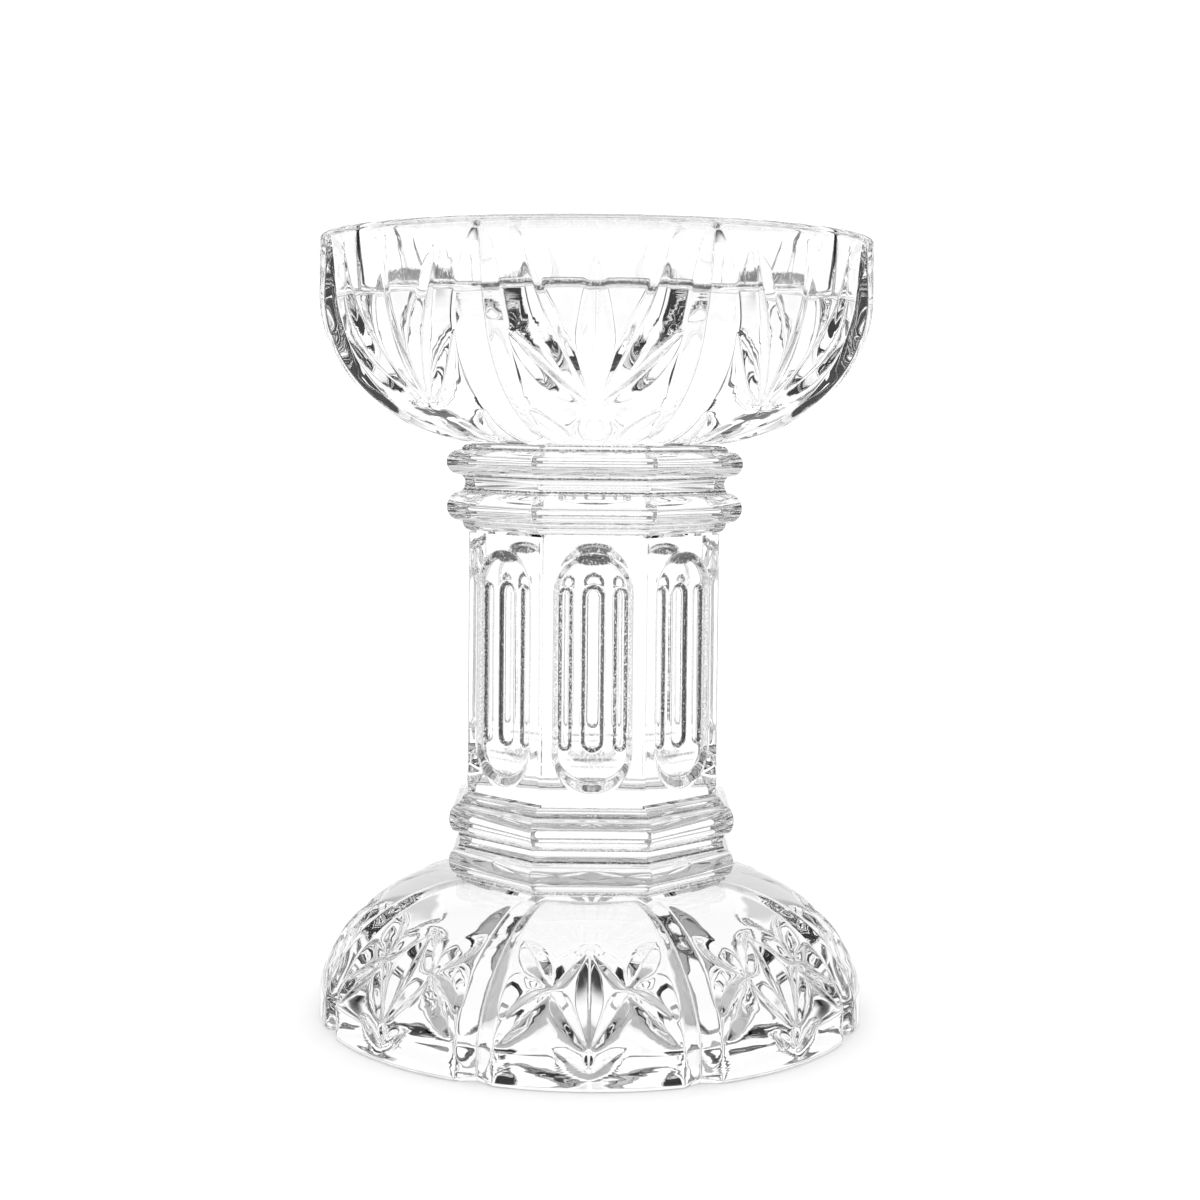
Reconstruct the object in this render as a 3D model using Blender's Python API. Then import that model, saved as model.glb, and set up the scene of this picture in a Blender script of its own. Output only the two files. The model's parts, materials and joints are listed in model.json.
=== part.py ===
"""Glass candlestick: a cut crystal bowl, two beaded collars, a panelled column and a domed foot.

Metres, +Z up, standing on z = 0 with its axis on Z. Every section is eight-fold about the axis, and
one face of the column looks along -Y. A section is a closed stack of rings of points. Its turned
profile gives each ring's radius, and its cuts push the points in, square to the profile.
"""

from math import asin, atan2, cos, hypot, pi, radians, sin, sqrt, tan

import bmesh
import bpy

# Driving dimensions.
HEIGHT = 0.1524
BOWL_RADIUS = 0.0542
FOOT_RADIUS = 0.0536
COLUMN_APOTHEM = 0.0242
SIDES = 8
SECTOR = 2 * pi / SIDES

# Heights of the seams between sections. A film of clear adhesive fills most of each gap.
FOOT_TOP = 0.0274
LOWER_COLLAR_TOP = 0.0444
COLUMN_TOP = 0.0951
UPPER_COLLAR_TOP = 0.1120
SEAM_GAP = 0.0005
FILM_CLEARANCE = 0.0001
FILM_RADIUS = 0.0228

# Bowl: its turned outside is an upright rim above a quarter of an ellipse.
BOWL_CENTRE_RADIUS = 0.0200
RIM_FOOT = 0.1410
RIM_ROUND = 0.0010
BOWL_NECK_RADIUS = 0.0258
RECESS_FLOOR = 0.1404
RECESS_RADIUS = 0.0440
RECESS_ROUND = 0.0020

# A round edge of two steps: how far its middle point lies from the sharp corner, of its radius.
ROUND_MIDDLE = 0.3
LIP_RADIUS = 0.0462

# Foot: a solid dome over an upright band, with a flat polished base.
DOME_CENTRE_RADIUS = 0.0260
DOME_FOOT = 0.0050
DOME_POWER = 1.75
DOME_LOW = radians(85.5)
DOME_HIGH = radians(2.3)
BAND_MIDDLE = 0.00335
BAND_ROUND = 0.0008

# Flutes along the edges of every sector: half the angle that each takes up, and its depth.
BOWL_FLUTE = (radians(5.2), 0.0028)
FOOT_FLUTE = (radians(3.9), 0.0019)
FLUTE_TOP = 0.1509
FLUTE_RUN_OUT = 0.0110

# Leaf cuts within a sector. Each end is an angle from the sector's middle and a height.
LEAF_DEPTH = 0.0014
BOWL_FAN = (radians(1.0), 0.1180)
BOWL_LEAVES = (
    (BOWL_FAN, (0.0, 0.1480), 0.0012),
    (BOWL_FAN, (radians(14.6), 0.1480), 0.0024),
)
FOOT_LEAVES = (
    ((0.0, 0.0215), (0.0, 0.0075), 0.0016),
    ((0.0, 0.0225), (radians(17.5), 0.0068), 0.0022),
    ((radians(15.0), 0.0218), (0.0, 0.0066), 0.0022),
)

# Collars: for each bead its lower and upper height, and the apothems of its root and its crest.
CORNER_CHAMFER = 0.0010
UPPER_BEADS = ((0.0966, 0.1043, 0.0252, 0.0282), (0.1043, 0.1112, 0.0260, 0.0286))
LOWER_BEADS = ((0.0283, 0.0350, 0.0258, 0.0276), (0.0350, 0.0434, 0.0256, 0.0276))
BEAD_STEPS = 6

# Panels, one on each face of the column. Each has a groove up its middle and one on either side,
# given as (distance from the middle, half-width). Its points draw in towards its round ends.
PANEL_LOW = 0.0467
PANEL_HIGH = 0.0924
PANEL_HALF_WIDTH = 0.0073
PANEL_LEAST_WIDTH = 0.0009
PANEL_END_FALL = 1.5
PANEL_DEPTH = 0.0012
PANEL_SLOPE = 0.0012
GROOVE_LOW = 0.0545
GROOVE_HIGH = 0.0865
GROOVE_DEPTH = 0.0009
GROOVES = ((0.0, 0.0019), (0.0051, 0.0012))
PANEL_ENDS = 5

# How finely the rings follow the shape.
BOWL_ROWS = 14
DOME_ROWS = 14
PLAIN_STEPS = 4
EVEN_LINES = 4
CLOSEST_LINES = radians(0.2)
FILM_SIDES = 32
SHARP_ANGLE = radians(25)


def clear_scene():
    for item in list(bpy.data.objects):
        bpy.data.objects.remove(item, do_unlink=True)


def clear_glass(name, colour, roughness, ior):
    material = bpy.data.materials.new(name)
    material.use_nodes = True
    shader = material.node_tree.nodes["Principled BSDF"]
    shader.inputs["Base Color"].default_value = (*colour, 1)
    shader.inputs["Roughness"].default_value = roughness
    shader.inputs["Metallic"].default_value = 0
    shader.inputs["IOR"].default_value = ior
    shader.inputs["Transmission Weight"].default_value = 1
    return material


def blend(start, end, share):
    return start + (end - start) * share


def turned(angle, radius, height):
    """The point at this angle from -Y, towards +X."""
    return (radius * sin(angle), -radius * cos(angle), height)


def round_ring(radius, height, count):
    return [turned(2 * pi * i / count, radius, height) for i in range(count)]


def matching_ring(radius, height, ring):
    """A round ring whose points stand at the same angles as those of another ring."""
    return [turned(atan2(x, -y), radius, height) for x, y, _ in ring]


def stacked(name, rings, material):
    """A closed solid: each ring is joined to the next, and the end rings are capped flat."""
    mesh = bmesh.new()
    loops = [[mesh.verts.new(point) for point in ring] for ring in rings]
    for low, high in zip(loops, loops[1:]):
        count = len(low)
        for i in range(count):
            j = (i + 1) % count
            mesh.faces.new((low[i], low[j], high[j], high[i]))
    mesh.faces.new(loops[0][::-1])
    mesh.faces.new(loops[-1])
    bmesh.ops.recalc_face_normals(mesh, faces=mesh.faces)
    data = bpy.data.meshes.new(name)
    mesh.to_mesh(data)
    mesh.free()
    data.materials.append(material)
    data.shade_smooth()
    data.set_sharp_from_angle(angle=SHARP_ANGLE)
    item = bpy.data.objects.new(name, data)
    bpy.context.scene.collection.objects.link(item)
    return item


def leaf_depth(angle, height, radius, start, end, half_width):
    """How deep a leaf-shaped V cut between two places on the surface is at this place."""
    run_x = (end[0] - start[0]) * radius
    run_z = end[1] - start[1]
    x = (angle - start[0]) * radius
    z = height - start[1]
    length = hypot(run_x, run_z)
    share = (x * run_x + z * run_z) / length**2
    if not 0 < share < 1:
        return 0.0
    off_line = abs(x * run_z - z * run_x) / length
    leaf = half_width * sqrt(sin(pi * share))
    return max(0.0, 1 - off_line / leaf) * LEAF_DEPTH * leaf / half_width


def flute_depth(angle, flute):
    half_angle, depth = flute
    to_edge = SECTOR / 2 - angle
    return max(0.0, 1 - to_edge / half_angle) * depth


def lines_across(radius, height, leaves, flute):
    """Angles across half a sector of the edges and valleys of its cuts, where points are needed."""
    flute_edge = SECTOR / 2 - flute[0]
    lines = [flute_edge * i / EVEN_LINES for i in range(EVEN_LINES + 1)] + [SECTOR / 2]
    for start, end, half_width in leaves:
        share = min(1.0, max(0.0, (height - start[1]) / (end[1] - start[1])))
        valley = blend(start[0], end[0], share)
        reach = half_width / radius * sin(pi * share)
        lines.append(valley + reach)
        if end[0] != start[0]:
            lines += [valley, max(0.0, valley - reach)]
    lines.sort()
    for i in range(1, len(lines)):
        lines[i] = max(lines[i], lines[i - 1] + CLOSEST_LINES)
    lines[-1] = SECTOR / 2
    for i in range(len(lines) - 2, 0, -1):
        lines[i] = min(lines[i], lines[i + 1] - CLOSEST_LINES)
    return lines


def cut_ring(radius, height, lean, leaves, flute):
    """A ring of the turned profile with its cuts. lean is the profile's slope from upright."""
    ring = []
    lines = lines_across(radius, height, leaves, flute)
    offsets = [-line for line in lines[:0:-1]] + lines[:-1]
    for side in range(SIDES):
        for offset in offsets:
            depth = flute_depth(abs(offset), flute)
            for start, end, half_width in leaves:
                leaf = leaf_depth(abs(offset), height, radius, start, end, half_width)
                depth = max(depth, leaf)
            angle = side * SECTOR + offset
            ring.append(turned(angle, radius - depth * cos(lean), height - depth * sin(lean)))
    return ring


def cut_rings(profile, leaves, flute):
    """Rings for a profile of (radius, height) points. The flutes fade out towards FLUTE_TOP."""
    rings = []
    for i, (radius, height) in enumerate(profile):
        before = profile[max(i - 1, 0)]
        after = profile[min(i + 1, len(profile) - 1)]
        lean = atan2(before[0] - after[0], after[1] - before[1]) if i else 0.0
        fade = min(1.0, max(0.0, (FLUTE_TOP - height) / FLUTE_RUN_OUT))
        faded = (flute[0], flute[1] * fade)
        rings.append(cut_ring(radius, height, lean, leaves, faded))
    return rings


def bowl_outside():
    """The bowl's turned profile from its neck up to where the rim starts to round over."""
    start = asin((BOWL_NECK_RADIUS - BOWL_CENTRE_RADIUS) / (BOWL_RADIUS - BOWL_CENTRE_RADIUS))
    drop = (RIM_FOOT - UPPER_COLLAR_TOP - SEAM_GAP) / cos(start)
    profile = []
    for i in range(BOWL_ROWS + 1):
        turn = blend(start, pi / 2, i / BOWL_ROWS)
        radius = blend(BOWL_CENTRE_RADIUS, BOWL_RADIUS, sin(turn))
        profile.append((radius, RIM_FOOT - drop * cos(turn)))
    for i in range(1, PLAIN_STEPS + 1):
        profile.append((BOWL_RADIUS, blend(RIM_FOOT, HEIGHT - RIM_ROUND, i / PLAIN_STEPS)))
    return profile


def candle_bowl(material):
    profile = bowl_outside()
    rings = cut_rings(profile, BOWL_LEAVES, BOWL_FLUTE)
    inside = (
        (BOWL_RADIUS - RIM_ROUND * ROUND_MIDDLE, HEIGHT - RIM_ROUND * ROUND_MIDDLE),
        (BOWL_RADIUS - RIM_ROUND, HEIGHT),
        (LIP_RADIUS + RIM_ROUND, HEIGHT),
        (LIP_RADIUS, HEIGHT - RIM_ROUND),
        (RECESS_RADIUS, RECESS_FLOOR + RECESS_ROUND),
        (
            RECESS_RADIUS - RECESS_ROUND * ROUND_MIDDLE,
            RECESS_FLOOR + RECESS_ROUND * ROUND_MIDDLE,
        ),
        (RECESS_RADIUS - RECESS_ROUND, RECESS_FLOOR),
    )
    last = rings[-1]
    rings += [matching_ring(radius, height, last) for radius, height in inside]
    return stacked("candle_bowl", rings, material)


def dome_outside():
    """The foot's turned profile from the band up to the lower collar."""
    profile = []
    for i in range(DOME_ROWS + 1):
        turn = blend(DOME_LOW, DOME_HIGH, i / DOME_ROWS)
        out = sin(turn) ** (2 / DOME_POWER)
        up = cos(turn) ** (2 / DOME_POWER)
        radius = blend(DOME_CENTRE_RADIUS, FOOT_RADIUS, out)
        profile.append((radius, blend(DOME_FOOT, FOOT_TOP, up)))
    return profile


def domed_foot(material):
    profile = [
        (FOOT_RADIUS - BAND_ROUND, 0.0),
        (FOOT_RADIUS, BAND_ROUND),
        (FOOT_RADIUS, BAND_MIDDLE),
    ]
    profile += dome_outside()
    return stacked("domed_foot", cut_rings(profile, FOOT_LEAVES, FOOT_FLUTE), material)


def octagon(apothem, height):
    """An octagon with chamfered corners and its flats towards +-X and +-Y."""
    half = apothem * tan(SECTOR / 2) - CORNER_CHAMFER
    ring = []
    for side in range(SIDES):
        for offset in (-half, half):
            angle = side * SECTOR + atan2(offset, apothem)
            ring.append(turned(angle, hypot(offset, apothem), height))
    return ring


def beaded_collar(name, low, high, beads, material):
    """An octagonal collar with a flat end at each seam and rounded beads between them."""
    rings = [octagon(beads[0][2], low)]
    for bottom, top, root, crest in beads:
        for i in range(BEAD_STEPS + 1):
            share = i / BEAD_STEPS
            apothem = blend(root, crest, sqrt(sin(pi * share)))
            rings.append(octagon(apothem, blend(bottom, top, share)))
        rings.pop()
    rings.append(octagon(beads[-1][2], beads[-1][1]))
    rings.append(octagon(beads[-1][2], high))
    return stacked(name, rings, material)


def stadium_edge(height, low, high, half_width):
    """Half the width at this height of an upright slot with round ends."""
    reach = half_width - min(height - low, high - height)
    if reach <= 0:
        return half_width
    return sqrt(max(0.0, half_width**2 - reach**2))


def panel_ring(height):
    """One ring of the column. Its points follow the panel's edge and the grooves in it."""
    slot = stadium_edge(height, PANEL_LOW, PANEL_HIGH, PANEL_HALF_WIDTH)
    edge = max(slot, PANEL_LEAST_WIDTH)
    sunk = min(1.0, slot / PANEL_HALF_WIDTH * PANEL_END_FALL) * PANEL_DEPTH
    points = [(COLUMN_APOTHEM * tan(SECTOR / 2) - CORNER_CHAMFER, 0.0), (edge, 0.0)]
    points.append((edge * (1 - PANEL_SLOPE / PANEL_HALF_WIDTH), sunk))
    for centre, half_width in GROOVES:
        in_groove = stadium_edge(height, GROOVE_LOW, GROOVE_HIGH, half_width) / half_width
        share = edge / PANEL_HALF_WIDTH
        points.append(((centre + half_width) * share, sunk))
        points.append(((centre + half_width / 2) * share, sunk + GROOVE_DEPTH * in_groove))
        if centre > 0:
            points.append(((centre - half_width / 2) * share, sunk + GROOVE_DEPTH * in_groove))
            points.append(((centre - half_width) * share, sunk))
    points.sort(reverse=True)
    across = [(-x, depth) for x, depth in points] + points[::-1]
    ring = []
    for side in range(SIDES):
        for offset, depth in across:
            apothem = COLUMN_APOTHEM - depth
            angle = side * SECTOR + atan2(offset, apothem)
            ring.append(turned(angle, hypot(offset, apothem), height))
    return ring


def panelled_column(material):
    low = LOWER_COLLAR_TOP + SEAM_GAP
    heights = [low, PANEL_LOW]
    for bottom, top, half_width in (
        (PANEL_LOW, PANEL_HIGH, PANEL_HALF_WIDTH),
        (GROOVE_LOW, GROOVE_HIGH, GROOVES[0][1]),
    ):
        for i in range(1, PANEL_ENDS + 1):
            rise = half_width * (1 - cos(pi / 2 * i / PANEL_ENDS))
            heights += [bottom + rise, top - rise]
    heights += [GROOVE_LOW, GROOVE_HIGH, PANEL_HIGH, COLUMN_TOP]
    return stacked("column", [panel_ring(z) for z in sorted(heights)], material)


def seam_film(name, below, material):
    """A thin disc of adhesive, clear of the two faces that it stands for bonding."""
    low = below + FILM_CLEARANCE
    high = below + SEAM_GAP - FILM_CLEARANCE
    rings = [round_ring(FILM_RADIUS, height, FILM_SIDES) for height in (low, high)]
    return stacked(name, rings, material)


def build():
    clear_scene()
    crystal = clear_glass("crystal", (0.97, 0.98, 0.98), 0.02, 1.52)
    adhesive = clear_glass("adhesive", (0.93, 0.94, 0.92), 0.10, 1.48)
    candle_bowl(crystal)
    beaded_collar("upper_collar", COLUMN_TOP + SEAM_GAP, UPPER_COLLAR_TOP, UPPER_BEADS, crystal)
    panelled_column(crystal)
    beaded_collar("lower_collar", FOOT_TOP + SEAM_GAP, LOWER_COLLAR_TOP, LOWER_BEADS, crystal)
    domed_foot(crystal)
    seam_film("bowl_bond", UPPER_COLLAR_TOP, adhesive)
    seam_film("column_top_bond", COLUMN_TOP, adhesive)
    seam_film("column_base_bond", LOWER_COLLAR_TOP, adhesive)
    seam_film("foot_bond", FOOT_TOP, adhesive)


build()
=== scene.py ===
import json
from math import atan2, cos, pi, radians, sin, sqrt, tan

import bpy
import numpy as np
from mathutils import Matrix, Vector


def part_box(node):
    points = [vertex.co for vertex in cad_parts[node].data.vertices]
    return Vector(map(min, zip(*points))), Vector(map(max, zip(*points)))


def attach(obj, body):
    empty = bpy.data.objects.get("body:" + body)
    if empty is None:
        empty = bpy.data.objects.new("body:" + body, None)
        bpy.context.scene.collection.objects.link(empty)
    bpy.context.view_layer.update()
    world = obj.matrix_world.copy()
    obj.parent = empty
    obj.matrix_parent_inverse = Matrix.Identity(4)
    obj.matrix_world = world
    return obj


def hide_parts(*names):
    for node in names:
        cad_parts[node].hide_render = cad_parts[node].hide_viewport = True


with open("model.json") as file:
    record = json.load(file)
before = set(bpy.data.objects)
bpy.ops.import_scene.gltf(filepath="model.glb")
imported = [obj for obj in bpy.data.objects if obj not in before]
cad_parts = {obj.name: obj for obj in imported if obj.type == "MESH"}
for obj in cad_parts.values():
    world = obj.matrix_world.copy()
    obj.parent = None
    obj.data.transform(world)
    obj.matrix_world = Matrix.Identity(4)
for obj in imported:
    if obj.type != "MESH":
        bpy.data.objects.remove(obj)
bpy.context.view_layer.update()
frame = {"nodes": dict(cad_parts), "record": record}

# Shapes are worked out in millimetres and scaled to metres when a mesh is made.
MM = 0.001
SIDES = 8
SECTOR = 2 * pi / SIDES
HALF_SECTOR = SECTOR / 2

# The CAD's own extents, in millimetres.
BOWL_LOW, BOWL_HIGH = (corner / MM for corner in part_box("candle_bowl"))
UPPER_LOW, UPPER_HIGH = (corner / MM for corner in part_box("upper_collar"))
COLUMN_LOW, COLUMN_HIGH = (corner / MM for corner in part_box("column"))
LOWER_LOW, LOWER_HIGH = (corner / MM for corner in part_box("lower_collar"))
FOOT_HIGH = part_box("domed_foot")[1] / MM
MOUNTS = {mount["name"]: mount for mount in frame["record"]["mounts"]}
RECESS_FLOOR = MOUNTS["candle_seat"]["pos_m"][2] / MM
BOND_NODES = ("bowl_bond", "column_top_bond", "column_base_bond", "foot_bond")

# Bowl, as in the CAD: an upright rim above a quarter of an ellipse, and a round recess.
BOWL_CENTRE_RADIUS = 20.0
BOWL_NECK_RADIUS = 25.6
RIM_FOOT = 141.0
RIM_ROUND = 1.0
RIM_START = 10
RECESS_RADIUS = 44.0
RECESS_ROUND = 1.6
RECESS_ROW = 1.5
LIP_RADIUS = 45.6

# Foot, as in the CAD: a solid dome over an upright band, with a flat base.
DOME_CENTRE_RADIUS = 26.0
DOME_FOOT = 5.0
DOME_POWER = 1.75
DOME_LOW = atan2(1, 0.08)
DOME_HIGH = 0.04
BAND_ROUND = 0.6

# Edges of the cuts: how far a ridge and a valley are rounded.
RIDGE_ROUND = 0.16
VALLEY_ROUND = 0.12

# Leaf cuts in half a sector: places as (degrees from the middle, height), then half-width,
# depth slope, and how blunt the two ends are.
BOWL_FAN = (0.6, 119.5)
BOWL_CUTS = (
    (((0.0, 119.0), (0.0, 134.0), (0.0, 149.2)), 3.0, 0.42, 0.8, 1.5),
    ((BOWL_FAN, (8.9, 133.5), (13.9, 149.0)), 2.4, 0.55, 0.85, 1.3),
    ((BOWL_FAN, (9.4, 123.6), (17.0, 132.8)), 2.0, 0.66, 0.7, 0.8),
    (((8.0, 113.2), (11.6, 115.6), (16.2, 118.6)), 1.3, 0.66, 0.6, 0.6),
    (((3.0, 112.6), (5.2, 114.4), (2.6, 117.2)), 1.1, 0.60, 0.5, 0.5),
)
FOOT_JOINT = (8.3, 16.6)
FOOT_CUTS = (
    (((0.0, 22.6), (0.0, 15.0), (0.0, 7.4)), 2.5, 0.55, 0.8, 0.9),
    (((0.0, 22.6), (4.4, 20.2), FOOT_JOINT), 2.0, 0.50, 0.5, 0.5),
    ((FOOT_JOINT, (13.4, 12.2), (18.0, 7.4)), 2.4, 0.50, 0.5, 0.6),
    (((16.4, 22.8), (12.4, 20.4), FOOT_JOINT), 2.7, 0.48, 0.6, 0.5),
    ((FOOT_JOINT, (4.4, 12.4), (0.4, 7.4)), 2.2, 0.52, 0.5, 0.6),
    ((FOOT_JOINT, (13.4, 16.4), (17.6, 11.8)), 3.0, 0.45, 0.6, 0.6),
    (((6.4, 7.3), (3.2, 5.2), (0.0, 2.9)), 1.1, 0.60, 0.6, 0.6),
    (((0.0, 7.4), (0.0, 5.2), (0.0, 2.7)), 1.0, 0.55, 0.5, 0.7),
)

# Flutes on the edges of every sector. The bowl's narrow to nothing under its rim.
BOWL_FLUTE_HALF_ANGLE = radians(5.6)
FOOT_FLUTE_HALF_ANGLE = radians(3.9)
FLUTE_SLOPE = 0.52
FLUTE_APEX = 151.0
FLUTE_SPREAD = 17.0
FLUTE_RUN_OUT = 3

# Collars: octagons with slightly rounded corners. Each outline is plain points with two beads
# between them. A bead is (lowest, highest, apothem at its edges, apothem at its crest).
CORNER_ROUND = 0.45
UPPER_BASE = ((24.3, 0.0), (24.7, 0.25), (25.3, 0.9), (25.4, 1.5))
UPPER_WAIST = ((25.2, 103.9), (25.0, 104.8), (25.2, 105.7))
UPPER_BEADS = ((97.3, 103.2, 25.5, 28.4), (106.2, 111.3, 25.6, 28.5))
UPPER_TOP = ((25.6, -0.4), (25.2, 0.0))
LOWER_BASE = ((25.6, 0.0), (26.2, 0.3), (26.1, 0.7))
LOWER_WAIST = ((25.7, 34.6), (25.6, 35.4), (25.7, 36.3))
LOWER_BEADS = ((28.8, 34.1, 25.9, 27.6), (36.8, 42.5, 25.8, 27.6))
LOWER_TOP = ((25.5, -1.4), (25.2, -1.0), (25.0, -0.5), (24.5, -0.2), (24.3, 0.0))

# Column: each face has a round-ended panel, as (lowest, highest, half-width), and three grooves
# in it, as (distance from the middle, lowest, highest, half-width). All have bevelled walls.
COLUMN_APOTHEM = 24.2
PANEL = (47.0, 92.0, 7.4)
PANEL_DEPTH = 0.9
PANEL_WALL = 0.9
PANEL_SCOOP = 2.2
GROOVES = ((0.0, 54.7, 86.2, 2.15), (5.15, 54.9, 85.8, 1.35))
GROOVE_DEPTH = 0.62
GROOVE_WALL = 0.75
GROOVE_END = 3
BEVEL_ROUND = 0.10

# How finely the surfaces are drawn: sizes in millimetres, counts, and how columns crowd together.
ROW_STEP = 0.40
COLLAR_ROW = 0.18
PANEL_ROW = 0.28
PLAIN_ROW = 1.6
BOWL_TURNS = 80
DOME_TURNS = 90
ROUND_STEPS = 8
BEAD_STEPS = 16
LEAF_STEPS = 14
FINE_COLUMNS = 36
FLAT_COLUMNS = 108
CORNER_COLUMNS = 4
COLLAR_COLUMNS = (-1, -0.97, -0.8, -0.4, 0, 0.4, 0.8, 0.97, 1)
TRIAL_COLUMNS = 360
FLAT_TRIALS = 1440
CREASE_WEIGHT = 5.0
CREASE_SMOOTHING = 21
ROW_SMOOTHING = 15
WALL_CROWDING = 3.0
WALL_MARGIN = 0.1
SHARP_ANGLE = radians(55)
LEAST_BEND = 1e-4
TINY = 1e-9

# Painted shade along creases: a dark tint that stands in for the thin dark lines of shade and
# reflection that cut glass shows there. Below: how tight a bend starts and ends a line, in turns of
# the surface per millimetre, and how strong the painted lines are on each kind of section.
CREASE_RANGE = (1.2, 3.6)
RIDGE_SHARE = 0.35
BOWL_CREASE_SHADE = 0.45
RIM_SHADE = 0.12
RECESS_SHADE = 1.00
FOOT_CREASE_SHADE = 0.10
COLLAR_CREASE_SHADE = 0.30
COLUMN_CREASE_SHADE = 0.60
PANEL_WALL_SHADE = 0.32
GROOVE_WALL_SHADE = (1.0, 0.65)
WALL_FADE = 6.0

# Painted shade in dark patches on a panel, as (height, half-width, half-height, how strong).
PANEL_PATCHES = (
    (91.0, 4.2, 1.3, 1.0),
    (53.3, 6.4, 0.35, 0.45),
    (52.0, 6.0, 0.35, 0.35),
    (49.4, 3.8, 0.8, 0.40),
)
PATCH_FADE = 3

# Painted shade: thin dark lines round the collars, as (height, how strong), and how wide they are.
COLLAR_LINE = 0.09
UPPER_LINES = (
    (96.9, 0.5),
    (99.2, 0.2),
    (103.5, 1.0),
    (106.0, 0.7),
    (108.4, 0.2),
    (111.4, 0.6),
)
LOWER_LINES = (
    (28.5, 0.5),
    (30.4, 0.2),
    (34.4, 0.9),
    (36.6, 0.7),
    (38.8, 0.2),
    (42.8, 0.6),
)

# Materials: colours, roughness, grains in a metre, and heights of ripples and grains in metres.
CLEAR_COLOUR = (1.0, 1.0, 1.0, 1.0)
# The painted shade's dark tint, where along its range it is full, and the roughness it adds.
PAINTED_SHADE_COLOUR = (0.012, 0.012, 0.013, 1.0)
GLASS_INDEX = 1.52
CLEAR_ROUGHNESS = 0.0
PAINTED_SHADE_FULL = 0.5
PAINTED_SHADE_ROUGHNESS = 0.12
GRAIN_SCALE = 2600.0
GRAIN_DETAIL = 3.0
GRAIN_EDGES = (0.30, 0.62)
GRAIN_SHARE = 0.75
RIPPLE_SCALE = 160.0
RIPPLE_HEIGHT = 0.00002
HAZE_COLOUR = (0.93, 0.94, 0.92, 1.0)
HAZE_ROUGHNESS = 0.35
HAZE_SCALE = 700.0
HAZE_EDGES = (0.45, 0.75)
HAZE_SHARE = 0.05
FLOOR_COLOUR = (0.92, 0.92, 0.92, 1.0)
FLOOR_ROUGHNESS = 0.9
FLOOR_SCALE = 900.0
FLOOR_TOOTH = 0.00002

# Camera: straight on to one face of the column, a little below the rim.
SENSOR_WIDTH = 36.0
CAMERA_ACROSS = 0.0009
CAMERA_DISTANCE = 0.4068
CAMERA_HEIGHT = 0.1178
CAMERA_PITCH = radians(2.45)
CAMERA_ROLL = radians(0.55)
CAMERA_SHIFT = -0.08
FOCAL_WIDTHS = 1.714

# Studio: brightness of its walls, and where its dark gaps and overhead ring start and end, as
# cosines of eight times the turn and sines of the elevation.
STUDIO_LIGHT = 1.01
STUDIO_COLOUR = (1.0, 1.0, 1.0, 1.0)
GAP_DARKNESS = 1.0
GAP_EDGES = (-0.90, -1.0)
WALL_TOP = (0.45, 0.25)
WALL_FOOT = (0.0, 0.12)
RING_LOW = (0.55, 0.66)
RING_HIGH = (0.92, 0.85)
RING_DARKNESS = 0.4
FLOOR_LIGHT = 1.35
FLOOR_HALF_SIZE = 6.0
FLOOR_GAP = 0.00005

# Light passes up to four seams twice, and each seam has four faces.
LIGHT_BOUNCES = 36


def soft_max(a, b, rounding):
    """The larger of two depths, with the ridge where they meet rounded over."""
    return (a + b + np.sqrt((a - b) ** 2 + rounding**2)) / 2


def resample(points, step):
    """Points at even steps along a polyline."""
    points = np.asarray(points, float)
    lengths = arc_lengths(points)
    count = max(2, round(lengths[-1] / step) + 1)
    at = np.linspace(0, lengths[-1], count)
    return np.stack([np.interp(at, lengths, points[:, i]) for i in (0, 1)], axis=1)


def arc_lengths(profile):
    return np.concatenate([[0], np.cumsum(np.hypot(*np.diff(profile, axis=0).T))])


def outward_normals(profile):
    """Unit normals of a profile that is listed from its foot up its outer side."""
    along = np.gradient(profile, axis=0)
    along /= np.hypot(along[:, 0], along[:, 1])[:, None]
    return np.stack([along[:, 1], -along[:, 0]], axis=1)


def curve_through(points):
    """A smooth curve through three places, as a list of places."""
    start, middle, end = (np.array(point) for point in points)
    t = np.linspace(0, 1, LEAF_STEPS + 1)[:, None]
    return start * (1 - t) * (1 - 2 * t) + middle * 4 * t * (1 - t) + end * t * (2 * t - 1)


def leaf_cut(across, along, cut, profile, lengths):
    """Depth of one leaf-shaped V cut at points given as distances across and along the surface."""
    places, half_width, slope, start_blunt, end_blunt = cut
    curve = curve_through(places)
    order = np.argsort(profile[:, 1])
    path_along = np.interp(curve[:, 1], profile[order, 1], lengths[order])
    path_radius = np.interp(curve[:, 1], profile[order, 1], profile[order, 0])
    path_across = np.radians(curve[:, 0]) * path_radius
    best = np.full(across.shape, np.inf)
    share = np.zeros(across.shape)
    for i in range(LEAF_STEPS):
        run_x = path_across[i + 1] - path_across[i]
        run_y = path_along[i + 1] - path_along[i]
        dx = across - path_across[i]
        dy = along - path_along[i]
        t = np.clip((dx * run_x + dy * run_y) / (run_x**2 + run_y**2), 0, 1)
        off = np.hypot(dx - t * run_x, dy - t * run_y)
        nearer = off < best
        best = np.where(nearer, off, best)
        share = np.where(nearer, (i + t) / LEAF_STEPS, share)
    peak = start_blunt / (start_blunt + end_blunt)
    top = peak**start_blunt * (1 - peak) ** end_blunt
    width = half_width * share**start_blunt * (1 - share) ** end_blunt / top
    return slope * (width - np.sqrt(best**2 + VALLEY_ROUND**2) + VALLEY_ROUND)


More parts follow.
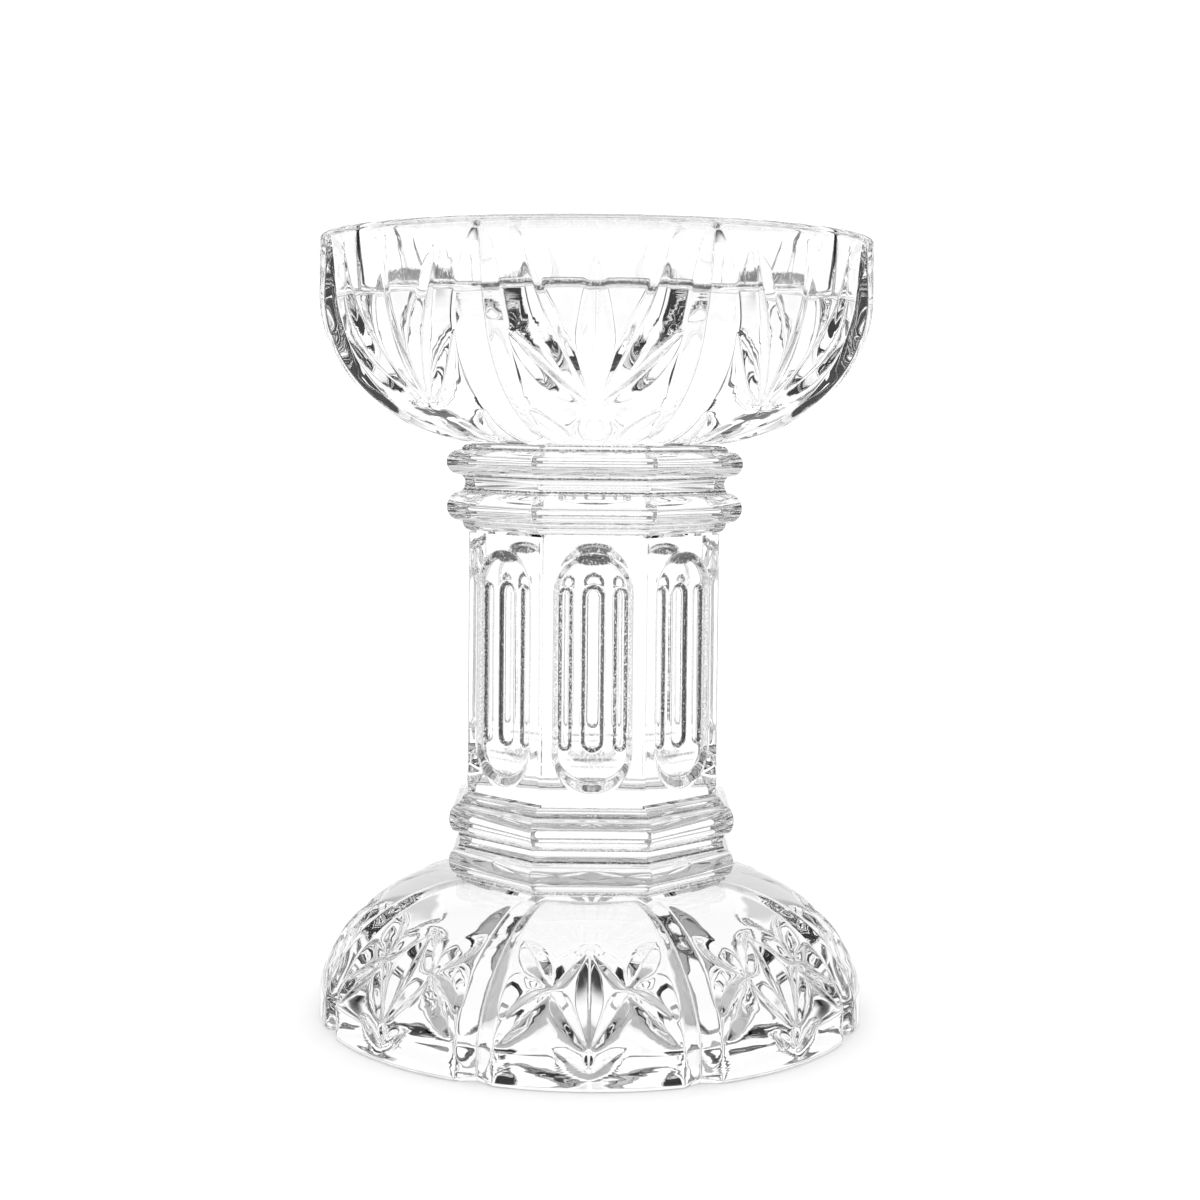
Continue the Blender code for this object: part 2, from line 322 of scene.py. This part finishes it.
def cut_depth(angles, profile, cuts, flute_width):
    """Depth of all the cuts at each point of a grid of angles, one line of them for each row."""
    lengths = arc_lengths(profile)
    across = angles * profile[:, :1]
    along = np.broadcast_to(lengths[:, None], across.shape)
    depth = np.zeros(across.shape)
    for cut in cuts:
        for side in (1, -1):
            leaf = leaf_cut(across * side, along, cut, profile, lengths)
            depth = soft_max(depth, leaf, RIDGE_ROUND)
    to_edge = (HALF_SECTOR - angles) * profile[:, :1]
    valley = np.sqrt(to_edge**2 + VALLEY_ROUND**2) - VALLEY_ROUND
    flute = FLUTE_SLOPE * (flute_width[:, None] - valley)
    return soft_max(depth, flute, RIDGE_ROUND)


def crease_angles(profile, cuts, flute_width):
    """For each row, angles across half a sector that crowd together where the cuts bend."""
    trial = np.linspace(0, HALF_SECTOR, TRIAL_COLUMNS)
    grid = np.broadcast_to(trial, (len(profile), TRIAL_COLUMNS))
    depth = cut_depth(grid, profile, cuts, flute_width)
    bend = np.abs(np.gradient(np.gradient(depth, axis=1), axis=1))
    kernel = np.hanning(CREASE_SMOOTHING)
    kernel /= kernel.sum()
    lines = []
    for line in bend:
        padded = np.pad(line, CREASE_SMOOTHING // 2, mode="edge")
        smooth = np.convolve(padded, kernel, mode="valid")
        weight = 1 + CREASE_WEIGHT * smooth / (smooth.mean() + LEAST_BEND)
        total = np.concatenate([[0], np.cumsum((weight[1:] + weight[:-1]) / 2)])
        wanted = np.linspace(0, total[-1], FINE_COLUMNS + 1)
        lines.append(np.interp(wanted, total, trial))
    even = np.hanning(ROW_SMOOTHING + 2)[1:-1]
    padded = np.pad(np.array(lines), ((ROW_SMOOTHING // 2,) * 2, (0, 0)), mode="edge")
    return sum(w * padded[i : i + len(lines)] for i, w in enumerate(even / even.sum()))


def cut_rings(profile, normals, cuts, flute_width):
    """Closed rings of points from one half sector with its cuts, mirrored and turned to all eight."""
    angles = crease_angles(profile, cuts, flute_width)
    depth = cut_depth(angles, profile, cuts, flute_width)
    radius = profile[:, :1] - depth * normals[:, :1]
    height = profile[:, 1:] - depth * normals[:, 1:]
    offsets = np.concatenate([-angles[:, :0:-1], angles[:, :-1]], axis=1)
    radius = np.concatenate([radius[:, :0:-1], radius[:, :-1]], axis=1)
    height = np.concatenate([height[:, :0:-1], height[:, :-1]], axis=1)
    angle = np.concatenate([offsets + side * SECTOR for side in range(SIDES)], axis=1)
    radius = np.tile(radius, SIDES)
    height = np.tile(height, SIDES)
    return np.stack([radius * np.sin(angle), -radius * np.cos(angle), height], axis=2)


def plain_rings(profile, like):
    """Round rings whose points stand at the same angles as those of another ring."""
    angle = np.arctan2(like[:, 0], -like[:, 1])
    rings = [(r * np.sin(angle), -r * np.cos(angle), np.full_like(angle, z)) for r, z in profile]
    return np.array(rings).transpose(0, 2, 1)


def crease_share(rings):
    """From 0 on smooth surface to 1 in a tight valley and less on a tight ridge, at each point."""
    across = np.roll(rings, -1, axis=1) - np.roll(rings, 1, axis=1)
    along = np.gradient(rings, axis=0)
    normals = np.cross(across, along)
    normals /= np.linalg.norm(normals, axis=2)[:, :, None] + TINY
    turned = np.roll(normals, -1, axis=1) - np.roll(normals, 1, axis=1)
    climbed = np.gradient(normals, axis=0)
    turn = (turned * across).sum(axis=2) / ((across**2).sum(axis=2) + TINY)
    climb = (climbed * along).sum(axis=2) / ((along**2).sum(axis=2) + TINY)
    low, high = CREASE_RANGE
    valley = np.clip((-np.minimum(turn, climb) - low) / (high - low), 0, 1)
    ridge = np.clip((np.maximum(turn, climb) - low) / (high - low), 0, 1)
    return np.maximum(valley, RIDGE_SHARE * ridge)


def ring_piece(name, rings, materials, end_slots, shade_strength, painted_marks=0):
    """A closed piece from rings of points. The end caps take the material slots in end_slots.

    The last two arguments give how strong the painted shade is, a dark tint that stands in for shade
    and dark reflections: the first along creases, the second at each point elsewhere.
    """
    count = rings.shape[1]
    # Painted shade: a dark tint along creases and wherever the marks ask for it, stored on the points.
    painted_dark = np.maximum(shade_strength * crease_share(rings), painted_marks)
    points = rings.reshape(-1, 3) * MM
    low = np.arange(len(rings) - 1)[:, None] * count + np.arange(count)
    high = low + count
    turn = np.roll(low, -1, axis=1), np.roll(high, -1, axis=1)
    quads = np.stack([low, turn[0], turn[1], high], axis=2).reshape(-1, 4).tolist()
    first = list(range(count))[::-1]
    last = list(range(len(points) - count, len(points)))
    mesh = bpy.data.meshes.new(name)
    mesh.from_pydata(points.tolist(), [], quads + [first, last])
    shade_layer = mesh.attributes.new("painted_crease_shade", "FLOAT", "POINT")
    shade_layer.data.foreach_set("value", painted_dark.astype(np.float32).ravel())
    for material in materials:
        mesh.materials.append(material)
    mesh.shade_smooth()
    mesh.set_sharp_from_angle(angle=SHARP_ANGLE)
    for cap, slot in enumerate(end_slots, len(quads)):
        mesh.polygons[cap].material_index = slot
        mesh.polygons[cap].use_smooth = False
    piece = bpy.data.objects.new(name, mesh)
    bpy.context.scene.collection.objects.link(piece)
    return piece


def round_edge(centre, radius, start, end):
    """Points on an arc of a profile, by angles in degrees from the +radius direction."""
    turns = np.radians(np.linspace(start, end, ROUND_STEPS + 1))
    return [(centre[0] + radius * cos(t), centre[1] + radius * sin(t)) for t in turns]


def bowl_outside():
    radius = BOWL_HIGH[0]
    start = np.arcsin((BOWL_NECK_RADIUS - BOWL_CENTRE_RADIUS) / (radius - BOWL_CENTRE_RADIUS))
    drop = (RIM_FOOT - BOWL_LOW[2]) / cos(start)
    dome = [
        (BOWL_CENTRE_RADIUS + (radius - BOWL_CENTRE_RADIUS) * sin(t), RIM_FOOT - drop * cos(t))
        for t in np.linspace(start, pi / 2, BOWL_TURNS)
    ]
    return resample(dome + [(radius, BOWL_HIGH[2] - RIM_ROUND)], ROW_STEP)


def candle_bowl(crystal, bond):
    profile = bowl_outside()
    below_apex = np.clip((FLUTE_APEX - profile[:, 1]) / FLUTE_SPREAD, 0, 1)
    flute_width = BOWL_FLUTE_HALF_ANGLE * profile[:, 0] * np.sqrt(below_apex)
    flute_width -= FLUTE_RUN_OUT * np.clip(profile[:, 1] - FLUTE_APEX, 0, None)
    outer = cut_rings(profile, outward_normals(profile), BOWL_CUTS, flute_width)
    rim, top = BOWL_HIGH[0], BOWL_HIGH[2]
    inside = round_edge((rim - RIM_ROUND, top - RIM_ROUND), RIM_ROUND, RIM_START, 90)
    inside += round_edge((LIP_RADIUS + RIM_ROUND, top - RIM_ROUND), RIM_ROUND, 90, 180)
    foot = (RECESS_RADIUS - RECESS_ROUND, RECESS_FLOOR + RECESS_ROUND)
    wall = resample([inside[-1], (RECESS_RADIUS, foot[1])], RECESS_ROW)
    foot_round = round_edge(foot, RECESS_ROUND, 0, -90)
    inside += [tuple(point) for point in wall[1:-1]] + foot_round
    rings = np.concatenate([outer, plain_rings(inside, outer[-1])])
    # Painted shade: darker towards the top of the rim, and round the foot of the recess.
    painted_marks = RIM_SHADE * np.clip(rings[:, :, 2] - top + 2 * RIM_ROUND, 0, 1)
    painted_marks[-len(foot_round) :] = RECESS_SHADE * np.hanning(len(foot_round))[:, None]
    return ring_piece("cut_bowl", rings, (crystal, bond), (1, 0), BOWL_CREASE_SHADE, painted_marks)


def foot_outside():
    radius = FOOT_HIGH[0]
    power = 2 / DOME_POWER
    band = round_edge((radius - BAND_ROUND, BAND_ROUND), BAND_ROUND, -90, 0)
    dome = [
        (
            DOME_CENTRE_RADIUS + (radius - DOME_CENTRE_RADIUS) * sin(t) ** power,
            DOME_FOOT + (FOOT_HIGH[2] - DOME_FOOT) * cos(t) ** power,
        )
        for t in np.linspace(DOME_LOW, DOME_HIGH, DOME_TURNS)
    ]
    return resample(band + dome, ROW_STEP)


def domed_foot(crystal, bond):
    profile = foot_outside()
    normals = outward_normals(profile)
    # The base stays flat, so its first ring is only pushed inwards.
    normals[0] = (1, 0)
    rings = cut_rings(profile, normals, FOOT_CUTS, FOOT_FLUTE_HALF_ANGLE * profile[:, 0])
    return ring_piece("cut_foot", rings, (crystal, bond), (0, 1), FOOT_CREASE_SHADE)


def octagon_points(profile, flat_offsets, sink=0):
    """Rings of an octagon with rounded corners. sink pushes in the points on its flats."""
    apothem = profile[:, :1]
    inner = apothem - CORNER_ROUND
    half = inner * tan(HALF_SECTOR)
    flat = np.stack([flat_offsets, sink - np.broadcast_to(apothem, flat_offsets.shape)], axis=2)
    turns = np.linspace(0, SECTOR, CORNER_COLUMNS + 2)[1:-1]
    corner_x = half + CORNER_ROUND * np.sin(turns)
    corner_y = -inner - CORNER_ROUND * np.cos(turns)
    side = np.concatenate([flat, np.stack([corner_x, corner_y], axis=2)], axis=1)
    rings = []
    for k in range(SIDES):
        c, s = cos(k * SECTOR), sin(k * SECTOR)
        x = side[:, :, 0] * c - side[:, :, 1] * s
        y = side[:, :, 0] * s + side[:, :, 1] * c
        rings.append(np.stack([x, y, np.broadcast_to(profile[:, 1:], x.shape)], axis=2))
    return np.concatenate(rings, axis=1)


def bead(low, high, root, crest):
    """The half-round profile of one bead, from its foot up."""
    shares = np.linspace(0, 1, BEAD_STEPS + 1)
    return [(root + (crest - root) * sqrt(1 - (2 * t - 1) ** 2), low + (high - low) * t) for t in shares]


def beaded_collar(name, box, base, beads, waist, top, shade_lines, materials):
    """An octagonal collar, with lines of painted shade round it given as (height, strength) pairs."""
    low, high = box[0][2], box[1][2]
    outline = [(apothem, low + up) for apothem, up in base]
    outline += bead(*beads[0]) + list(waist) + bead(*beads[1])
    outline += [(apothem, high + up) for apothem, up in top]
    profile = resample(outline, COLLAR_ROW)
    half = (profile[:, :1] - CORNER_ROUND) * tan(HALF_SECTOR)
    rings = octagon_points(profile, half * np.array(COLLAR_COLUMNS))
    painted_marks = np.zeros(rings.shape[:2])
    for height, shade_strength in shade_lines:
        off_line = np.abs(profile[:, 1:] - height)
        painted_marks = np.maximum(painted_marks, shade_strength * np.clip(2 - off_line / COLLAR_LINE, 0, 1))
    return ring_piece(name, rings, materials, (1, 1), COLLAR_CREASE_SHADE, painted_marks)


def upper_collar(crystal, bond):
    box = UPPER_LOW, UPPER_HIGH
    shape = UPPER_BASE, UPPER_BEADS, UPPER_WAIST, UPPER_TOP
    return beaded_collar("upper_beads", box, *shape, UPPER_LINES, (crystal, bond))


def lower_collar(crystal, bond):
    box = LOWER_LOW, LOWER_HIGH
    shape = LOWER_BASE, LOWER_BEADS, LOWER_WAIST, LOWER_TOP
    return beaded_collar("lower_beads", box, *shape, LOWER_LINES, (crystal, bond))


def slot_distance(x, z, low, high, half_width):
    """Distance outside an upright slot with round ends, and how far down its foot end it lies."""
    nearest = np.clip(z, low + half_width, high - half_width)
    return np.hypot(x, z - nearest) - half_width, np.clip((nearest - z) / half_width, 0, 1)


def bevelled(distance, wall):
    """From 0 at an edge to 1 on the floor, down a straight bevel with slightly rounded edges."""
    share = -distance / wall
    rounding = BEVEL_ROUND / wall
    upper = soft_max(share, 0, rounding)
    return upper - soft_max(upper - 1, 0, rounding)


def on_wall(distance, wall):
    """1 in the middle of a bevel and 0 off it."""
    share = -distance / wall
    return np.clip(np.minimum(share, 1 - share) * WALL_FADE, 0, 1)


def near_wall(outside, wall):
    """Where a distance outside an edge lies on the wall below it, or just beside it."""
    return (outside < WALL_MARGIN) & (outside > -wall - WALL_MARGIN)


def flat_columns(half):
    """Places across a flat, closer together on the walls of the panel and its grooves."""
    trial = np.linspace(-half, half, FLAT_TRIALS)
    weight = np.ones(trial.shape)
    for centre, _, _, half_width in GROOVES:
        outside = np.abs(np.abs(trial) - centre) - half_width
        weight[near_wall(outside, GROOVE_WALL)] = WALL_CROWDING
    weight[near_wall(np.abs(trial) - PANEL[2], PANEL_WALL)] = WALL_CROWDING
    total = np.cumsum(weight)
    return np.interp(np.linspace(total[0], total[-1], FLAT_COLUMNS), total, trial)


def column_heights():
    """Heights of the column's rows, close together except along the middle of the grooves."""
    low, high = COLUMN_LOW[2], COLUMN_HIGH[2]
    groove_low, groove_high = GROOVES[0][1] + GROOVE_END, GROOVES[0][2] - GROOVE_END
    below = np.linspace(low, groove_low, round((groove_low - low) / PANEL_ROW))
    middle = np.linspace(groove_low, groove_high, round((groove_high - groove_low) / PLAIN_ROW))
    above = np.linspace(groove_high, high, round((high - groove_high) / PANEL_ROW))
    return np.concatenate([below[:-1], middle[:-1], above])


def panelled_column(crystal, bond):
    heights = column_heights()
    profile = np.stack([np.full_like(heights, COLUMN_APOTHEM), heights], axis=1)
    half = (COLUMN_APOTHEM - CORNER_ROUND) * tan(HALF_SECTOR)
    x = np.broadcast_to(flat_columns(half), (len(heights), FLAT_COLUMNS))
    z = heights[:, None]
    distance, foot = slot_distance(x, z, *PANEL)
    wall = PANEL_WALL + (PANEL_SCOOP - PANEL_WALL) * foot
    sink = PANEL_DEPTH * bevelled(distance, wall)
    # Painted shade: dark on the walls of the panel and of its grooves, and in patches on the panel.
    painted_marks = PANEL_WALL_SHADE * on_wall(distance, wall)
    for height, half_width, half_height, shade_strength in PANEL_PATCHES:
        patch = np.hypot(x / half_width, (z - height) / half_height)
        painted_marks = np.maximum(painted_marks, shade_strength * np.clip(PATCH_FADE * (1 - patch), 0, 1))
    for (centre, bottom, top, half_width), shade_strength in zip(GROOVES, GROOVE_WALL_SHADE):
        distance, _ = slot_distance(np.abs(x) - centre, z, bottom, top, half_width)
        sink = sink + GROOVE_DEPTH * bevelled(distance, GROOVE_WALL)
        painted_marks = np.maximum(painted_marks, shade_strength * on_wall(distance, GROOVE_WALL))
    rings = octagon_points(profile, x, sink)
    corners = np.zeros((len(heights), CORNER_COLUMNS))
    painted_marks = np.tile(np.concatenate([painted_marks, corners], axis=1), SIDES)
    return ring_piece("panelled_column", rings, (crystal, bond), (1, 1), COLUMN_CREASE_SHADE, painted_marks)


def new_material(name):
    material = bpy.data.materials.new(name)
    material.use_nodes = True
    return material


def math_node(tree, operation, *values):
    """The output of a Math node. A value is a number or another node's output."""
    node = tree.nodes.new("ShaderNodeMath")
    node.operation = operation
    for socket, value in zip(node.inputs, values):
        if isinstance(value, (int, float)):
            socket.default_value = value
        else:
            tree.links.new(value, socket)
    return node.outputs[0]


def ramp(tree, value, low, high):
    """From 0 where value is at low to 1 where it is at high, smoothly."""
    node = tree.nodes.new("ShaderNodeMapRange")
    node.interpolation_type = "SMOOTHSTEP"
    tree.links.new(value, node.inputs["Value"])
    node.inputs["From Min"].default_value = low
    node.inputs["From Max"].default_value = high
    return node.outputs["Result"]


def noise_node(tree, scale, detail=1.0):
    """The output of a Noise texture with the given number of grains in a metre."""
    node = tree.nodes.new("ShaderNodeTexNoise")
    node.inputs["Scale"].default_value = scale
    node.inputs["Detail"].default_value = detail
    place = tree.nodes.new("ShaderNodeTexCoord").outputs["Object"]
    tree.links.new(place, node.inputs["Vector"])
    return node.outputs["Fac"]


def bump_node(tree, height, distance):
    node = tree.nodes.new("ShaderNodeBump")
    node.inputs["Distance"].default_value = distance
    tree.links.new(height, node.inputs["Height"])
    return node.outputs["Normal"]


def crystal_material():
    """Clear pressed crystal with faint ripples, and painted shade: a dark, grainy tint where a mesh
    attribute marks a line.
    """
    material = new_material("crystal_glass")
    tree = material.node_tree
    shader = tree.nodes["Principled BSDF"]
    # Painted shade: the attribute darkens the glass's tint, broken up by grain, and roughens it a
    # little.
    shade_strength = tree.nodes.new("ShaderNodeAttribute")
    shade_strength.attribute_name = "painted_crease_shade"
    grain = ramp(tree, noise_node(tree, GRAIN_SCALE, GRAIN_DETAIL), *GRAIN_EDGES)
    grainy = math_node(tree, "MULTIPLY_ADD", grain, GRAIN_SHARE, 1 - GRAIN_SHARE)
    painted_dark = math_node(tree, "MULTIPLY", shade_strength.outputs["Fac"], grainy)
    tint = tree.nodes.new("ShaderNodeValToRGB")
    tint.color_ramp.elements[0].color = CLEAR_COLOUR
    tint.color_ramp.elements[1].color = PAINTED_SHADE_COLOUR
    tint.color_ramp.elements[1].position = PAINTED_SHADE_FULL
    tree.links.new(painted_dark, tint.inputs["Fac"])
    tree.links.new(tint.outputs["Color"], shader.inputs["Base Color"])
    roughness = math_node(tree, "MULTIPLY_ADD", painted_dark, PAINTED_SHADE_ROUGHNESS, CLEAR_ROUGHNESS)
    tree.links.new(roughness, shader.inputs["Roughness"])
    ripples = noise_node(tree, RIPPLE_SCALE)
    tree.links.new(bump_node(tree, ripples, RIPPLE_HEIGHT), shader.inputs["Normal"])
    shader.inputs["IOR"].default_value = GLASS_INDEX
    shader.inputs["Transmission Weight"].default_value = 1.0
    return material


def bond_material():
    """Adhesive with the crystal's refractive index, so that a bonded face vanishes but for a haze."""
    material = new_material("index_matched_joint")
    tree = material.node_tree
    haze = tree.nodes["Principled BSDF"]
    haze.inputs["Base Color"].default_value = HAZE_COLOUR
    haze.inputs["Roughness"].default_value = HAZE_ROUGHNESS
    clear = tree.nodes.new("ShaderNodeBsdfTransparent")
    mix = tree.nodes.new("ShaderNodeMixShader")
    speckle = ramp(tree, noise_node(tree, HAZE_SCALE, GRAIN_DETAIL), *HAZE_EDGES)
    tree.links.new(math_node(tree, "MULTIPLY", speckle, HAZE_SHARE), mix.inputs["Fac"])
    tree.links.new(clear.outputs["BSDF"], mix.inputs[1])
    tree.links.new(haze.outputs["BSDF"], mix.inputs[2])
    tree.links.new(mix.outputs["Shader"], tree.nodes["Material Output"].inputs["Surface"])
    return material


def floor_material():
    """Matt white studio board with a faint tooth."""
    material = new_material("pale_floor")
    tree = material.node_tree
    shader = tree.nodes["Principled BSDF"]
    shader.inputs["Base Color"].default_value = FLOOR_COLOUR
    shader.inputs["Roughness"].default_value = FLOOR_ROUGHNESS
    tooth = noise_node(tree, FLOOR_SCALE, GRAIN_DETAIL)
    tree.links.new(bump_node(tree, tooth, FLOOR_TOOTH), shader.inputs["Normal"])
    return material


def add_camera():
    data = bpy.data.cameras.new("camera")
    data.sensor_width = SENSOR_WIDTH
    data.lens = SENSOR_WIDTH * FOCAL_WIDTHS
    data.shift_y = CAMERA_SHIFT
    camera = bpy.data.objects.new("camera", data)
    camera.location = (CAMERA_ACROSS, -CAMERA_DISTANCE, CAMERA_HEIGHT)
    camera.rotation_euler = (pi / 2 - CAMERA_PITCH, -CAMERA_ROLL, 0)
    bpy.context.scene.collection.objects.link(camera)
    bpy.context.scene.camera = camera


def add_floor():
    mesh = bpy.data.meshes.new("floor")
    half = FLOOR_HALF_SIZE
    corners = [(-half, -half, 0), (half, -half, 0), (half, half, 0), (-half, half, 0)]
    mesh.from_pydata(corners, [], [(0, 1, 2, 3)])
    mesh.materials.append(floor_material())
    floor = bpy.data.objects.new("floor", mesh)
    floor.location.z = -FLOOR_GAP
    bpy.context.scene.collection.objects.link(floor)


def add_world():
    """White studio walls with narrow dark gaps between eight panels, and a dim ring overhead.

    The backdrop and the floor see even white light in place of the gaps and the ring.
    """
    world = bpy.data.worlds.new("studio")
    bpy.context.scene.world = world
    world.use_nodes = True
    tree = world.node_tree
    direction = tree.nodes.new("ShaderNodeTexCoord").outputs["Generated"]
    axes = tree.nodes.new("ShaderNodeSeparateXYZ")
    tree.links.new(direction, axes.inputs[0])
    x, y, z = axes.outputs
    turn = math_node(tree, "ARCTAN2", y, x)
    wave = math_node(tree, "COSINE", math_node(tree, "MULTIPLY", turn, SIDES))
    upright = math_node(tree, "MULTIPLY", ramp(tree, z, *WALL_TOP), ramp(tree, z, *WALL_FOOT))
    gaps = math_node(tree, "MULTIPLY", ramp(tree, wave, *GAP_EDGES), upright)
    ring = math_node(tree, "MULTIPLY", ramp(tree, z, *RING_LOW), ramp(tree, z, *RING_HIGH))
    dark = math_node(tree, "MAXIMUM", gaps, math_node(tree, "MULTIPLY", ring, RING_DARKNESS))
    light = math_node(tree, "MULTIPLY_ADD", dark, -STUDIO_LIGHT * GAP_DARKNESS, STUDIO_LIGHT)
    path = tree.nodes.new("ShaderNodeLightPath").outputs
    even = math_node(tree, "MAXIMUM", path["Is Camera Ray"], path["Diffuse Depth"])
    even = math_node(tree, "MINIMUM", even, 1.0)
    level = math_node(tree, "MAXIMUM", light, math_node(tree, "MULTIPLY", even, FLOOR_LIGHT))
    tree.links.new(level, tree.nodes["Background"].inputs["Strength"])
    tree.nodes["Background"].inputs["Color"].default_value = STUDIO_COLOUR


def stand_for(piece, node):
    """Rides a piece on the one body, in place of the CAD node that it redraws."""
    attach(piece, "root")
    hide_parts(node)


crystal = crystal_material()
bond = bond_material()
for name in BOND_NODES:
    frame["nodes"][name].material_slots[0].material = bond
stand_for(candle_bowl(crystal, bond), "candle_bowl")
stand_for(domed_foot(crystal, bond), "domed_foot")
stand_for(upper_collar(crystal, bond), "upper_collar")
stand_for(panelled_column(crystal, bond), "column")
stand_for(lower_collar(crystal, bond), "lower_collar")
add_floor()
add_world()
add_camera()
bpy.context.scene.view_settings.view_transform = "Standard"
bpy.context.scene.cycles.max_bounces = LIGHT_BOUNCES
bpy.context.scene.cycles.transmission_bounces = LIGHT_BOUNCES
bpy.context.scene.cycles.transparent_max_bounces = LIGHT_BOUNCES
